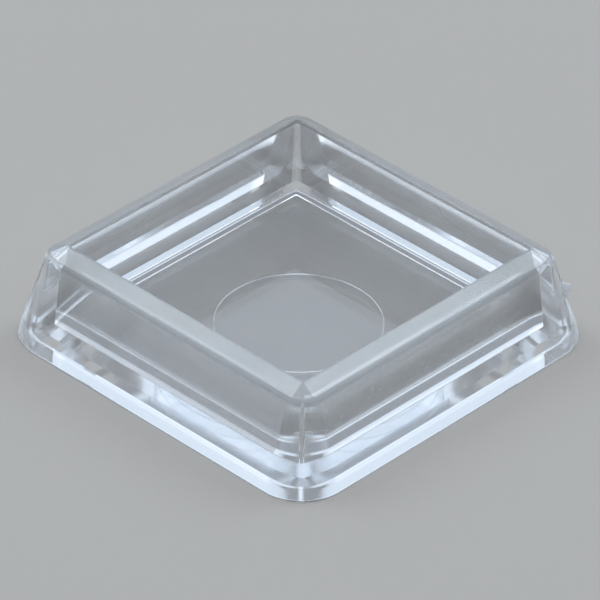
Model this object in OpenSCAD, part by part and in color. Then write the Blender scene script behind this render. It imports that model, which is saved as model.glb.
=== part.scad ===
// Clear square caster cup: a moulded cup that stands under a furniture leg, with a round disc in its floor.
// The origin is at the middle of the underside, +Z is up, and the walls face the X and Y axes.

/* [Cup] */
// Side of the square opening, at the rim
opening = 38.6; // [30:0.1:60]
// Thickness of a wall at the base, from the opening's edge outward
wall = 6.1; // [5:0.1:12]
// Height of the cup
height = 12.6; // [9:0.1:20]
// Thickness of the floor
floor_t = 1.6; // [1:0.1:3]

/* [Outside] */
// Height of the steep lip at the base
lip_h = 1.4; // [0.8:0.1:2.5]
// How far the lip leans in over its height
lip_in = 0.3; // [0.1:0.05:0.5]
// Flat land round the top of the opening
rim_land = 0.2; // [0.1:0.05:0.5]
// Width of the shoulder, from the opening's edge to the outer slope
shoulder_w = 2.6; // [1.8:0.1:4]
// Fall of the shoulder over that width
shoulder_drop = 1.1; // [0.6:0.1:2]
// Radius where the shoulder turns into the outer slope
shoulder_r = 1.5; // [0.5:0.1:2]

/* [Underside] */
// Depth of the shallow hollow under each wall
hollow = 0.25; // [0.1:0.05:0.6]
// Distance from the opening's edge out to the hollow
hollow_in = 0.3; // [0.1:0.1:1.5]
// Distance from the opening's edge out to the middle of the hollow
hollow_mid = 3.05; // [2.2:0.05:4]
// Width of the flat crest in the middle of the hollow
hollow_crest = 0.5; // [0.1:0.1:1]
// Width of the foot between the hollow and the base's edge
foot_w = 0.5; // [0.3:0.1:1]

/* [Socket] */
// Draft of the socket's walls, in degrees from upright
draft = 0.5; // [0:0.1:3]
// Fillet between the floor and the socket's walls
floor_fillet = 0.15; // [0.1:0.05:1]

/* [Floor disc] */
// Diameter of the disc at the floor's surface
disc_d = 20.2; // [10:0.1:26]
// Taper of the disc's seat, in degrees from upright
disc_taper = 3; // [1:0.5:8]
// Clearance round the disc
seam = 0.05; // [0.02:0.01:0.15]

/* [Gate stub] */
// Width of the broken-off gate on one corner
stub_w = 1.2; // [0.8:0.1:3]
// Height of the stub
stub_h = 2.4; // [0.8:0.1:3]
// How far the stub stands out of the corner
stub_out = 0.8; // [0.3:0.1:1.2]
// Height of the stub's middle above the underside
stub_z = 6.5; // [4:0.1:8]

/* [Hidden] */
$fn = 96;
clear_plastic = [0.86, 0.92, 0.96, 0.45];
// How far a cutting solid runs past the face that it cuts
cut = 1;

half = opening / 2;
// Directions of the shoulder, below level, and of the outer slope, from upright
shoulder_fall = atan2(shoulder_drop, shoulder_w - rim_land);
slope_lean = atan2(wall - lip_in - shoulder_w, height - shoulder_drop - lip_h);
// The rounding between them: its reach along each line, its two ends and its centre
shoulder_turn = 90 - slope_lean - shoulder_fall;
shoulder_reach = shoulder_r * tan(shoulder_turn / 2);
shoulder_point = [shoulder_w, height - shoulder_drop];
shoulder_start = shoulder_point + shoulder_reach * [-cos(shoulder_fall), sin(shoulder_fall)];
shoulder_end = shoulder_point + shoulder_reach * [sin(slope_lean), -cos(slope_lean)];
shoulder_centre = shoulder_start - shoulder_r * [sin(shoulder_fall), cos(shoulder_fall)];

// Half width of the socket at a height above the underside
function socket_half(z) = half - (height - z) * tan(draft);
// Thickness of a wall at a height on its outer slope
function slope_at(z) = wall - lip_in - (z - lip_h) * tan(slope_lean);

// Outline of one wall, measured outward from the opening's edge
module wall_section() {
    crest = hollow_crest / 2;
    intersection() {
        union() {
            polygon([
                [0, 0], [hollow_in, 0], [hollow_mid - crest, hollow], [hollow_mid + crest, hollow],
                [wall - foot_w, 0], [wall, 0], [wall - lip_in, lip_h],
                shoulder_end, shoulder_start, [rim_land, height], [0, height]
            ]);
            translate(shoulder_centre) circle(shoulder_r);
        }
        square([wall, height]);
    }
}

// Outline of the whole cup without its socket, seen along a wall
module block_section() {
    for (side = [0, 1]) mirror([side, 0]) translate([half, 0]) wall_section();
    translate([-half, 0]) square([opening, height]);
}

// Outline of the socket, with a fillet along each side of the floor
module socket_section() {
    fillet_z = floor_t + floor_fillet;
    fillet_x = socket_half(fillet_z) - floor_fillet / cos(draft);
    wall_end = [fillet_x, fillet_z] + floor_fillet * [cos(draft), -sin(draft)];
    rim_end = [socket_half(height + cut), height + cut];
    polygon([
        [fillet_x, floor_t], wall_end, rim_end,
        [-rim_end.x, rim_end.y], [-wall_end.x, wall_end.y], [-fillet_x, floor_t]
    ]);
    for (side = [-1, 1]) translate([side * fillet_x, fillet_z]) circle(floor_fillet);
}

// A section drawn in X and Z, run along Y through the middle of the cup
module along_y(length) {
    rotate([90, 0, 0]) linear_extrude(length, center = true) children();
}

// The cup's outer form: two crossing blocks, with a turned corner at each corner of the opening
module outer_form() {
    for (turn = [0, 90]) rotate(turn) along_y(opening) block_section();
    for (turn = [0:90:270]) rotate(turn) translate([half, half]) rotate_extrude(angle = 90) wall_section();
}

// The socket, with its fillets mitred in the corners
module socket() {
    intersection() {
        along_y(opening + cut) socket_section();
        rotate(90) along_y(opening + cut) socket_section();
    }
}

// The tapered seat of the floor disc, or the disc itself, grown by a gap all round
module disc_form(gap, below, above) {
    radius_top = disc_d / 2 + gap + above * tan(disc_taper);
    radius_low = disc_d / 2 + gap - (floor_t + below) * tan(disc_taper);
    translate([0, 0, -below]) cylinder(h = below + floor_t + above, r1 = radius_low, r2 = radius_top);
}

// The stub that is left where the cup was broken off its runner
module gate_stub() {
    root = slope_at(stub_z) / 2;
    translate([half, half, stub_z]) rotate(45) translate([root, -stub_w / 2, -stub_h / 2])
        cube([slope_at(stub_z) - root + stub_out, stub_w, stub_h]);
}

module cup() {
    color(clear_plastic) difference() {
        union() {
            outer_form();
            gate_stub();
        }
        socket();
        disc_form(seam, cut, cut);
    }
}

module floor_disc() {
    color(clear_plastic) disc_form(0, 0, 0);
}

cup();
floor_disc();
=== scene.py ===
"""A clear square caster cup with a round disc in its floor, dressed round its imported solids."""

import math

import bpy
from mathutils import Matrix, Vector, noise


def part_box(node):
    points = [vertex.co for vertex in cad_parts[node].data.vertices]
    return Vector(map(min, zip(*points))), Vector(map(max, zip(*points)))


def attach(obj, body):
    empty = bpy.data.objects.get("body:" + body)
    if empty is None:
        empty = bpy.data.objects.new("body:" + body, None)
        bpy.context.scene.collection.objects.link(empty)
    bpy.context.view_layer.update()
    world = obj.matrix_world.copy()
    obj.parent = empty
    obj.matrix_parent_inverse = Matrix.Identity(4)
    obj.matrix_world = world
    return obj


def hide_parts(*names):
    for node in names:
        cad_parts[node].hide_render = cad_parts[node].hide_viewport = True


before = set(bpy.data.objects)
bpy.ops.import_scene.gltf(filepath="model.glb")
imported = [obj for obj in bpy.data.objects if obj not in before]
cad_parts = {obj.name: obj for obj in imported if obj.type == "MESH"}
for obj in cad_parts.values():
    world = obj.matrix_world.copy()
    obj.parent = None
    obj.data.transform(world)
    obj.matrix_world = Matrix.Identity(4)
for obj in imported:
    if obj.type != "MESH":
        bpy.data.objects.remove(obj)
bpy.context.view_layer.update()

# Sizes in millimetres, the same as the solids have
MM = 0.001
CUP_LOW, CUP_HIGH = (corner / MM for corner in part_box("cup"))
DISC_LOW, DISC_HIGH = (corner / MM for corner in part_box("floor_disc"))
BASE = CUP_HIGH.x - CUP_LOW.x
HEIGHT = CUP_HIGH.z
FLOOR_T = DISC_HIGH.z
OPENING = 38.6
HALF = OPENING / 2
WALL = (BASE - OPENING) / 2
LIP_H = 1.4
LIP_IN = 0.3
RIM_LAND = 0.2
SHOULDER_W = 2.6
SHOULDER_DROP = 1.1
SHOULDER_R = 1.5
DRAFT = math.radians(0.5)
FLOOR_FILLET = 0.15
HOLLOW = 0.25
HOLLOW_IN = 0.3
HOLLOW_MID = 3.05
HOLLOW_CREST = 0.5
FOOT_W = 0.5
DISC_R = (DISC_HIGH.x - DISC_LOW.x) / 2
DISC_TAPER = math.radians(3)
SEAM = 0.05
STUB_W = 1.2
STUB_H = 2.4
STUB_OUT = 0.8
STUB_Z = 6.5

# Small roundings that a moulded edge has
RIM_EDGE_R = 0.08
LAND_EDGE_R = 0.5
LIP_EDGE_R = 0.15
FOOT_EDGE_R = 0.15
HOLLOW_EDGE_R = 0.6
SEAM_TOP_R = 0.05
SEAM_LOW_R = 0.02
SOCKET_CORNER_R = 0.25

# How deep the torn stub's root lies in the corner
STUB_ROOT = 0.6
# How the stub is torn: repeats of the noise along, across and up it, the shares of its section that are lost
# towards the tip and in nicks, and the share of its length that is lost on its low side
STUB_TEAR = (4, 1.7, 2.5)
STUB_TAPER, STUB_NICK, STUB_SLANT = 0.35, 0.3, 0.35

# The flats of the floor and the underside run from square rings to round ones: where the square ones end,
# measured out from the opening's edge, and how far past the disc's seat the round ones begin
SQUARE_END = -6
SEAT_LAND = 1

# The height at which the satin shoulder has faded into the polished slope
SATIN_LOW = 9.6
# The length of each side, at its ends, over which the satin fades into the polished corner
SATIN_FADE = 5
# A height that is too small to matter
TINY = 0.001

# How finely the meshes are cut: steps on a corner's arc and on a side, the angle of each step of a rounding,
# and the stub's rings with the points in each
CORNER_STEPS = 20
SIDE_STEPS = 28
ROUNDING_STEP = math.radians(4)
STUB_RINGS, STUB_AROUND = 9, 28

# How rough each kind of surface is: the polished socket, the outside, the satin shoulder and the underside
CLEAR, OUTSIDE, SATIN, SCUFFED = 0.03, 0.05, 0.24, 0.05
# The outside is less polished round the corners, and the torn stub is rough
CORNER, TORN = 0.09, 0.45

# Which plastic a face of the cup or the disc shows, in the order of the pieces' materials
CLEAR_FACE, SATIN_FACE, SEAM_FACE = 0, 1, 2
# How milky the satin and the torn plastic are
SATIN_HAZE, TORN_HAZE = 0.12, 0.45
# How much light bends on its way into the plastic, and in the seam, whose cement bends it as the plastic does
PLASTIC_IOR, SEAM_IOR = 1.57, 1.001
# The plastic's own faint blue, the tint of its streaks and that of the satin's streaks
PLASTIC_TINT = (0.975, 0.988, 1.0)
STREAK_TINT = (0.955, 0.975, 1.0)
SATIN_STREAK_TINT = (0.88, 0.94, 0.98)

# Fine detail of the surfaces: noise in repeats per metre, lengths and depths in metres
WAVE_SCALE, WAVE_DEPTH = 130, 1.5e-6
SMUDGE_SCALE = 170
STREAK, STREAK_DEPTH = (1.4e-2, 8e-4), 3e-4
SPECK_SCALE, SPECK_SIZE = 380, 0.035
# A hairline's length and width, how rare it is, how soft its edge is, and its ways: the turn about Z and the
# tilt, in degrees
SCRATCH, SCRATCH_RARE, SCRATCH_EDGE = (3e-3, 1.2e-4), 0.83, 0.03
SCRATCH_WAYS = ((25, 0), (-50, -20), (100, 45))
MARK_ROUGHNESS, MARK_DEPTH = 0.2, 4e-6
# The levels of the noise between which smudges and streaks change the roughness, and how much they change it
SMUDGE_LEVELS, STREAK_LEVELS, UNEVEN = (0.35, 0.7), (0.3, 0.7), (0.95, 1.06)
# The levels of the noise between which a streak's tint gives way to the plastic's
TINT_LEVELS = (0.4, 0.62)
# The relief of the streaks follows this power of the roughness, so that it is felt on the satin alone
RELIEF_POWER = 3

# The pale floor, in metres: it lies a hair below the underside
STAGE_SIDE, STAGE_Z = 3.0, -0.00003
STAGE_COLOUR, STAGE_ROUGHNESS = (0.41, 0.38, 0.35), 0.7

# The sky's colours by height, its strength, the level direction to the camera and how much dimmer it is there
SKY = (
    (0.0, (0.15, 0.155, 0.165)),
    (0.38, (0.16, 0.172, 0.19)),
    (0.46, (0.44, 0.5, 0.57)),
    (0.74, (0.42, 0.48, 0.55)),
    (0.86, (0.7, 0.76, 0.82)),
    (1.0, (0.86, 0.92, 0.98)),
)
SKY_STRENGTH = 1.8
NEAR_SIDE, NEAR_SHADE = (0.69, -0.72, 0), 0.5
# The softboxes that the near shoulders mirror
SOFTBOXES = {"softbox_left": (-0.34, -0.099, 0.483), "softbox_back": (0.108, 0.357, 0.47)}
SOFTBOX_SIZE, SOFTBOX_POWER, SOFTBOX_COLOUR = 0.26, 0.64, (0.84, 0.93, 1.0)

# Light runs along inside the clear floor and walls, so it is followed through many reflections
LIGHT_BOUNCES = 64


def left_of(way):
    """The direction to the left of a direction in a section."""
    return Vector((-way.y, way.x))


def rounding(corner, before, after, radius):
    """The points and normals of an arc that rounds the corner between two directions."""
    turn = math.atan2(before.x * after.y - before.y * after.x, before.dot(after))
    side = math.copysign(1, turn)
    reach = radius * math.tan(abs(turn) / 2)
    centre = corner - before * reach + side * radius * left_of(before)
    steps = max(2, math.ceil(abs(turn) / ROUNDING_STEP))
    arc = []
    for k in range(steps + 1):
        normal = Matrix.Rotation(turn * k / steps, 2) @ left_of(before)
        arc.append((centre - side * radius * normal, normal))
    return arc


def rounded(corners):
    """Runs along (place, height, radius, roughness) corners and rounds each. Returns rows of (place, height,
    normal, roughness), where the normal is to the left of the run, out of the plastic."""
    points = [Vector(corner[:2]) for corner in corners]
    rows = []
    for i, (point, (*_, radius, roughness)) in enumerate(zip(points, corners)):
        before = (point - points[i - 1]).normalized() if i else None
        after = (points[i + 1] - point).normalized() if i + 1 < len(points) else None
        if radius == 0:
            bend = [(point, left_of(after or before))]
        else:
            bend = rounding(point, before, after, radius)
        rows += [(place.x, place.y, normal, roughness) for place, normal in bend]
    return rows


def corner_finish(roughness, angle):
    """How rough a surface is on a corner's arc. The satin has ended, and all but the socket is duller."""
    dull = (CORNER - OUTSIDE) * math.sin(2 * angle) if roughness >= OUTSIDE else 0
    return min(roughness, OUTSIDE) + dull


def side_finish(roughness, from_end):
    """How rough a surface is on a straight side. The satin fades towards the side's ends."""
    share = min(1, from_end / SATIN_FADE) if roughness == SATIN else 1
    return roughness * share + OUTSIDE * (1 - share)


def square_ring(out, z, normal, roughness):
    """A ring of (point, normal, roughness) round the cup, a distance out from the opening's edge."""
    radius = max(out, SOCKET_CORNER_R)
    axis = HALF + out - radius
    right_angle = math.radians(90)
    quarter = []
    for i in range(CORNER_STEPS + 1):
        a = right_angle * i / CORNER_STEPS
        x, y = axis + radius * math.cos(a), axis + radius * math.sin(a)
        quarter.append((x, y, a, corner_finish(roughness, a)))
    for i in range(1, SIDE_STEPS):
        x = axis * math.tan(math.radians(45 - 90 * i / SIDE_STEPS))
        quarter.append((x, axis + radius, right_angle, side_finish(roughness, axis - abs(x))))
    ring = []
    for k in range(4):
        turn = Matrix.Rotation(math.radians(90 * k), 3, "Z")
        for x, y, a, finish in quarter:
            facing = Vector((normal.x * math.cos(a), normal.x * math.sin(a), normal.y))
            ring.append((turn @ Vector((x, y, z)), turn @ facing, finish))
    return ring


def round_ring(radius, z, normal, roughness):
    """A ring of (point, normal, roughness) on a circle, with its points at a square ring's angles."""
    ring = []
    for place, *_ in square_ring(0, z, normal, roughness):
        a = math.atan2(place.y, place.x)
        way = Vector((math.cos(a), math.sin(a), 0))
        facing = normal.x * way + Vector((0, 0, normal.y))
        ring.append((radius * way + Vector((0, 0, z)), facing, roughness))
    return ring


def band_faces(count, rings, closed):
    """Faces between rings of so many points each, and from the last ring to the first if it is closed."""
    faces = []
    for r in range(rings if closed else rings - 1):
        low, high = r * count, (r + 1) % rings * count
        for i in range(count):
            j = (i + 1) % count
            faces.append((low + i, low + j, high + j, high + i))
    return faces


def facing_out(face, verts, normals):
    """A face, turned over if it faces against its corners' normals."""
    a, b, c, d = (verts[v] for v in face[:4])
    flat = (b - a).cross(c - a)
    if flat.length == 0:
        flat = (c - a).cross(d - a)
    outward = sum((normals[v] for v in face), Vector())
    return face[::-1] if flat.dot(outward) < 0 else face


def face_kind(corners):
    """Which plastic a face shows: the seam's beside the disc, the shoulder's satin, or clear."""
    heights = [corner.z for corner in corners]
    rise = max(heights) - min(heights)
    reach = max(corner.xy.length for corner in corners)
    if rise > FLOOR_T / 2 and reach < DISC_R + 2 * SEAM:
        return SEAM_FACE
    return SATIN_FACE if min(heights) > SATIN_LOW + TINY else CLEAR_FACE


def put(name, data):
    """An object with this data, in the scene."""
    made = bpy.data.objects.new(name, data)
    bpy.context.scene.collection.objects.link(made)
    return made


def skin(name, rings, closed, caps=()):
    """A mesh object through rings of (point, normal, roughness), with those normals kept exactly."""
    count = len(rings[0])
    verts = [point * MM for ring in rings for point, *_ in ring]
    normals = [normal for ring in rings for _, normal, _ in ring]
    finish = [roughness for ring in rings for *_, roughness in ring]
    faces = band_faces(count, len(rings), closed)
    faces += [tuple(range(r * count, (r + 1) * count)) for r in caps]
    faces = [facing_out(face, verts, normals) for face in faces]
    kinds = [face_kind([verts[v] / MM for v in face]) for face in faces]
    mesh = bpy.data.meshes.new(name)
    mesh.from_pydata(verts, [], faces)
    mesh.polygons.foreach_set("use_smooth", [True] * len(faces))
    mesh.polygons.foreach_set("material_index", kinds)
    mesh.normals_split_custom_set([normals[v].normalized() for face in faces for v in face])
    mesh.attributes.new("finish", "FLOAT", "POINT").data.foreach_set("value", finish)
    return put(name, mesh)


def socket_out(z):
    """Where the drafted socket's wall is at a height, measured out from the opening's edge."""
    return -(HEIGHT - z) * math.tan(DRAFT)


def slope_out(z):
    """Where the outer slope is at a height, measured out from the opening's edge."""
    share = (z - LIP_H) / (HEIGHT - SHOULDER_DROP - LIP_H)
    return WALL - LIP_IN + share * (SHOULDER_W - WALL + LIP_IN)


def cup_piece():
    """The cup: its socket, rim, shoulder, outer slope, lip and underside, and the seat of the disc."""
    outline = rounded([
        (SQUARE_END, FLOOR_T, 0, CLEAR),
        (socket_out(FLOOR_T), FLOOR_T, FLOOR_FILLET, CLEAR),
        (0, HEIGHT, RIM_EDGE_R, CLEAR),
        (RIM_LAND, HEIGHT, LAND_EDGE_R, SATIN),
        (SHOULDER_W, HEIGHT - SHOULDER_DROP, SHOULDER_R, SATIN),
        (slope_out(SATIN_LOW), SATIN_LOW, 0, OUTSIDE),
        (WALL - LIP_IN, LIP_H, LIP_EDGE_R, OUTSIDE),
        (WALL, 0, FOOT_EDGE_R, OUTSIDE),
        (WALL - FOOT_W, 0, HOLLOW_EDGE_R, SCUFFED),
        (HOLLOW_MID + HOLLOW_CREST / 2, HOLLOW, HOLLOW_EDGE_R, SCUFFED),
        (HOLLOW_MID - HOLLOW_CREST / 2, HOLLOW, HOLLOW_EDGE_R, SCUFFED),
        (HOLLOW_IN, 0, HOLLOW_EDGE_R, SCUFFED),
        (SQUARE_END, 0, 0, SCUFFED),
    ])
    seat_top = DISC_R + SEAM
    seat_low = seat_top - FLOOR_T * math.tan(DISC_TAPER)
    seat = rounded([
        (seat_low + SEAT_LAND, 0, 0, SCUFFED),
        (seat_low, 0, SEAM_LOW_R, SCUFFED),
        (seat_top, FLOOR_T, SEAM_TOP_R, CLEAR),
        (seat_top + SEAT_LAND, FLOOR_T, 0, CLEAR),
    ])
    rings = [round_ring(*row) for row in seat] + [square_ring(*row) for row in outline]
    return skin("cup_body", rings, closed=True)


def disc_piece():
    """The round disc in the floor, flush on both sides."""
    low = DISC_R - FLOOR_T * math.tan(DISC_TAPER)
    outline = rounded([
        (DISC_R / 2, FLOOR_T, 0, CLEAR),
        (DISC_R, FLOOR_T, SEAM_TOP_R, CLEAR),
        (low, 0, SEAM_LOW_R, SCUFFED),
        (DISC_R / 2, 0, 0, SCUFFED),
    ])
    rings = [round_ring(*row) for row in outline]
    return skin("floor_disc_body", rings, closed=False, caps=(0, len(rings) - 1))


def stub_points():
    """The stub's rings of points, from its root in the corner between +X and +Y out to its tip."""
    out = Vector((1, 1, 0)).normalized()
    side = Vector((-out.y, out.x, 0))
    up = Vector((0, 0, 1))
    root = Vector((HALF, HALF, STUB_Z)) + out * (slope_out(STUB_Z) - STUB_ROOT)
    length = STUB_ROOT + STUB_OUT
    points = []
    for r in range(STUB_RINGS):
        along = r / (STUB_RINGS - 1)
        for i in range(STUB_AROUND):
            a = math.radians(360) * i / STUB_AROUND
            across, rise = math.cos(a), math.sin(a)
            spot = Vector([repeats * share for repeats, share in zip(STUB_TEAR, (along, across, rise))])
            torn = abs(noise.noise(spot))
            shrink = 1 - STUB_TAPER * along ** 2 - STUB_NICK * torn * along
            reach = length * along * (1 - STUB_SLANT * along * ((1 - rise) / 2 + torn))
            width, height = shrink * STUB_W / 2, shrink * STUB_H / 2
            points.append(root + out * reach + side * (across * width) + up * (rise * height))
    return points


def stub_piece():
    """The torn stub of the gate: a flat tongue with ragged sides and tip."""
    verts = stub_points()
    faces = band_faces(STUB_AROUND, STUB_RINGS, closed=False)
    for r in (0, STUB_RINGS - 1):
        ring = list(range(r * STUB_AROUND, (r + 1) * STUB_AROUND))
        middle = len(verts)
        verts.append(sum((verts[v] for v in ring), Vector()) / STUB_AROUND)
        # The root's end faces back into the corner
        if r == 0:
            ring.reverse()
        faces += [(v, after, middle) for v, after in zip(ring, ring[1:] + ring[:1])]
    mesh = bpy.data.meshes.new("gate_stub")
    mesh.from_pydata([v * MM for v in verts], [], faces)
    mesh.attributes.new("finish", "FLOAT", "POINT").data.foreach_set("value", [TORN] * len(verts))
    return put("gate_stub", mesh)


def add(tree, kind, links=None, **values):
    """A shader node with its properties set, and its inputs set to a value or linked to an output."""
    made = tree.nodes.new("ShaderNode" + kind)
    for key, value in values.items():
        setattr(made, key, value)
    for key, value in (links or {}).items():
        if isinstance(value, bpy.types.NodeSocket):
            tree.links.new(value, made.inputs[key])
        else:
            made.inputs[key].default_value = value
    return made


def calc(tree, operation, *terms):
    """The output of a math node on values and other outputs."""
    return add(tree, "Math", dict(enumerate(terms)), operation=operation).outputs[0]


def cloud(tree, coords, scale, detail):
    """Soft noise from 0 to 1."""
    return add(tree, "TexNoise", {"Vector": coords, "Scale": scale, "Detail": detail}).outputs["Fac"]


def spread(tree, value, levels, results=(0, 1)):
    """A value that runs between two levels, made to run between two results."""
    low, high = levels
    least, most = results
    links = {"Value": value, "From Min": low, "From Max": high, "To Min": least, "To Max": most}
    return add(tree, "MapRange", links).outputs[0]


def drawn_out(tree, coords, lengths, way=(0, 0, 0)):
    """Coordinates that count these lengths along X, Y and Z, turned a way."""
    links = {"Vector": coords, "Rotation": way, "Scale": lengths}
    return add(tree, "Mapping", links, vector_type="TEXTURE").outputs[0]


def colour_ramp(tree, level, stops):
    """The colours between (level, colour) stops."""
    ramp = add(tree, "ValToRGB", {"Fac": level})
    elements = ramp.color_ramp.elements
    # A new ramp has its first two stops
    for i, (where, colour) in enumerate(stops):
        stop = elements[i] if i < 2 else elements.new(where)
        stop.position = where
        stop.color = (*colour, 1)
    return ramp.outputs["Color"]


def streaks(tree, coords):
    """A fine grain that is drawn out along each wall, along X or Y by the way that the surface faces."""
    facing = add(tree, "SeparateXYZ", {0: add(tree, "NewGeometry").outputs["Normal"]}).outputs
    square_x, square_y = (calc(tree, "MULTIPLY", facing[k], facing[k]) for k in "XY")
    faces_x = calc(tree, "GREATER_THAN", square_x, square_y)
    long, thin = STREAK
    along_x = drawn_out(tree, coords, (long, thin, thin))
    along_y = drawn_out(tree, coords, (thin, long, thin))
    # The vector sockets of a mix node: its A and B are the inputs 4 and 5, and its result is the output 1
    run = add(tree, "Mix", {0: faces_x, 4: along_x, 5: along_y}, data_type="VECTOR").outputs[1]
    return cloud(tree, run, scale=1, detail=1)


def marks(tree, coords):
    """A mask of wear: small specks above the underside, and hairlines that lie several ways on the walls."""
    height = add(tree, "SeparateXYZ", {0: coords}).outputs["Z"]
    above_base = calc(tree, "GREATER_THAN", height, FLOOR_T / 2 * MM)
    above_floor = calc(tree, "GREATER_THAN", height, (FLOOR_T + FLOOR_FILLET) * MM)
    distance = add(tree, "TexVoronoi", {"Vector": coords, "Scale": SPECK_SCALE}).outputs["Distance"]
    specks = calc(tree, "LESS_THAN", distance, SPECK_SIZE)
    mask = calc(tree, "MULTIPLY", specks, above_base)
    long, thin = SCRATCH
    for turn, tilt in SCRATCH_WAYS:
        way = (0, math.radians(tilt), math.radians(turn))
        run = drawn_out(tree, coords, (long, thin, thin), way)
        hairs = cloud(tree, run, scale=1, detail=0)
        lines = spread(tree, hairs, (SCRATCH_RARE, SCRATCH_RARE + SCRATCH_EDGE))
        mask = calc(tree, "MAXIMUM", mask, calc(tree, "MULTIPLY", lines, above_floor))
    return mask


def uneven_roughness(tree, coords, finish, grain, worn):
    """The roughness: the finish of each surface, made uneven by smudges and streaks, and the marks."""
    smudge = cloud(tree, coords, SMUDGE_SCALE, detail=4)
    smudged = calc(tree, "MULTIPLY", finish, spread(tree, smudge, SMUDGE_LEVELS, UNEVEN))
    streaked = calc(tree, "MULTIPLY", smudged, spread(tree, grain, STREAK_LEVELS, UNEVEN))
    return calc(tree, "MAXIMUM", streaked, calc(tree, "MULTIPLY", worn, MARK_ROUGHNESS))


def fine_relief(tree, coords, finish, grain, worn):
    """The normal, bent by the moulding's faint waves, by the satin's streaks and by the marks."""
    wave = cloud(tree, coords, WAVE_SCALE, detail=1)
    brushed = calc(tree, "MULTIPLY", grain, calc(tree, "POWER", finish, RELIEF_POWER))
    below = {}
    for height, depth in ((wave, WAVE_DEPTH), (brushed, STREAK_DEPTH), (worn, MARK_DEPTH)):
        bump = add(tree, "Bump", {"Height": height, "Strength": 1, "Distance": depth, **below})
        below = {"Normal": bump.outputs[0]}
    return below["Normal"]


def new_material(name):
    """A material, its node tree and its shader's inputs."""
    material = bpy.data.materials.new(name)
    material.use_nodes = True
    tree = material.node_tree
    return material, tree, tree.nodes["Principled BSDF"].inputs


def clear_plastic(name, haze=0, streak_tint=STREAK_TINT, ior=PLASTIC_IOR):
    """Clear moulded plastic, a share of it milky, streaked with a tint, with satin grain and wear."""
    material, tree, shader = new_material(name)
    shader["Transmission Weight"].default_value = 1 - haze
    shader["IOR"].default_value = ior
    coords = add(tree, "TexCoord").outputs["Object"]
    finish = add(tree, "Attribute", attribute_name="finish").outputs["Fac"]
    grain = streaks(tree, coords)
    worn = marks(tree, coords)
    tint = colour_ramp(tree, grain, zip(TINT_LEVELS, (streak_tint, PLASTIC_TINT)))
    tree.links.new(tint, shader["Base Color"])
    tree.links.new(uneven_roughness(tree, coords, finish, grain, worn), shader["Roughness"])
    tree.links.new(fine_relief(tree, coords, finish, grain, worn), shader["Normal"])
    return material


def place(piece, node, slot, materials):
    """Lets a piece stand for its node, with its finish."""
    for material in materials:
        piece.data.materials.append(material)
    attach(piece, "root")
    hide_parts(node)


def studio_floor():
    """The plain pale floor."""
    corners = [(x * STAGE_SIDE, y * STAGE_SIDE, STAGE_Z) for x, y in ((-1, -1), (1, -1), (1, 1), (-1, 1))]
    mesh = bpy.data.meshes.new("studio_floor")
    mesh.from_pydata(corners, [], [(0, 1, 2, 3)])
    material, _, shader = new_material("studio_floor")
    shader["Base Color"].default_value = (*STAGE_COLOUR, 1)
    shader["Roughness"].default_value = STAGE_ROUGHNESS
    mesh.materials.append(material)
    put("studio_floor", mesh)


def studio_sky():
    """A soft sky, bright overhead, and dim low down and on the camera's side."""
    world = bpy.data.worlds.new("studio")
    bpy.context.scene.world = world
    world.use_nodes = True
    tree = world.node_tree
    way = add(tree, "TexCoord").outputs["Generated"]
    height = add(tree, "SeparateXYZ", {0: way}).outputs["Z"]
    nearness = add(tree, "VectorMath", {0: way, 1: NEAR_SIDE}, operation="DOT_PRODUCT").outputs["Value"]
    level = calc(tree, "MULTIPLY_ADD", calc(tree, "MAXIMUM", nearness, 0), -NEAR_SHADE, height)
    background = tree.nodes["Background"].inputs
    tree.links.new(colour_ramp(tree, level, SKY), background["Color"])
    background["Strength"].default_value = SKY_STRENGTH


def softboxes():
    """A soft lamp for each near shoulder. It shows in what mirrors it, and not through the plastic."""
    for name, spot in SOFTBOXES.items():
        lamp = bpy.data.lights.new(name, "AREA")
        lamp.size = SOFTBOX_SIZE
        lamp.energy = SOFTBOX_POWER
        lamp.color = SOFTBOX_COLOUR
        holder = put(name, lamp)
        holder.location = spot
        holder.rotation_euler = (-Vector(spot)).to_track_quat("-Z", "Y").to_euler()
        holder.visible_transmission = False


def photo_camera():
    """A long lens that looks down on one corner of the cup."""
    azimuth, elevation, roll = (math.radians(a) for a in (43.76, 34.99, 0.99))
    distance, across, raised = 0.714, 0.00017, 0.00399
    image_px, focal_px = 600, 6000
    back = Vector((math.sin(azimuth) * math.cos(elevation), -math.cos(azimuth) * math.cos(elevation),
                   math.sin(elevation)))
    level = Vector((math.cos(azimuth), math.sin(azimuth), 0))
    upright = back.cross(level)
    right = math.cos(roll) * level + math.sin(roll) * upright
    up = -math.sin(roll) * level + math.cos(roll) * upright
    spot = back * distance + right * across + up * raised
    lens = bpy.data.cameras.new("photo_camera")
    lens.sensor_width = 36
    lens.lens = lens.sensor_width * focal_px / image_px
    lens.clip_start = 0.01
    camera = put("photo_camera", lens)
    camera.matrix_world = Matrix.Translation(spot) @ Matrix((right, up, back)).transposed().to_4x4()
    bpy.context.scene.camera = camera


photo_camera()
studio_floor()
studio_sky()
softboxes()
# In the order of the kinds of faces
plastics = [
    clear_plastic("clear_plastic"),
    clear_plastic("satin_plastic", SATIN_HAZE, SATIN_STREAK_TINT),
    clear_plastic("bonded_seam", ior=SEAM_IOR),
]
place(cup_piece(), "cup", "clear_body", plastics)
place(disc_piece(), "floor_disc", "clear_disc", plastics)
place(stub_piece(), "cup", "clear_body", [clear_plastic("torn_plastic", TORN_HAZE)])

cycles = bpy.context.scene.cycles
cycles.max_bounces = cycles.glossy_bounces = cycles.transmission_bounces = LIGHT_BOUNCES
# Light passes through the clear floor to the surface below without being blurred
cycles.blur_glossy = 0
bpy.context.scene.view_settings.view_transform = "Standard"
